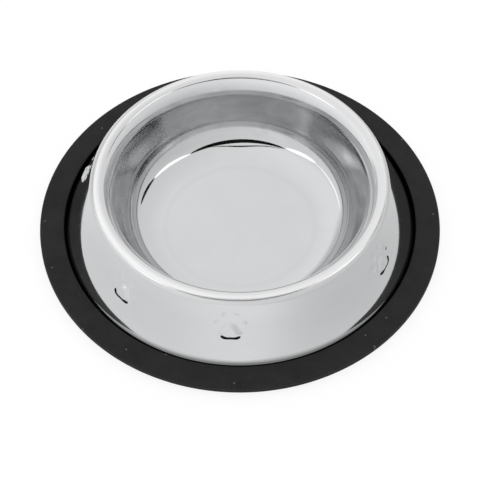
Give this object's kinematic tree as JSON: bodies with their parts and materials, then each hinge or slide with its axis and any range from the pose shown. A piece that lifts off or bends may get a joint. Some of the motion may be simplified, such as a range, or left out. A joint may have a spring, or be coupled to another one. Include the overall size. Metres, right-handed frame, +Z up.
{
  "type": "cat bowl",
  "caption": "Low round pet bowl: pressed steel dish with a rounded rim and a flared skirt with embossed paw prints, its foot held in a rubber base ring that stops it sliding.",
  "frame": {"origin": "on the table, at the centre of the base ring's underside", "axes": "+Z up along the bowl's axis; +X to the viewer's right and -Y towards the viewer in the picture"},
  "size_m": [0.1598, 0.1598, 0.0307],
  "materials": {
    "polished_steel": "polished",
    "base_rubber": "matte"
  },
  "bodies": {
    "root": {"bowl_shell": "polished_steel", "rubber_base_ring": "base_rubber"}
  },
  "joints": []
}
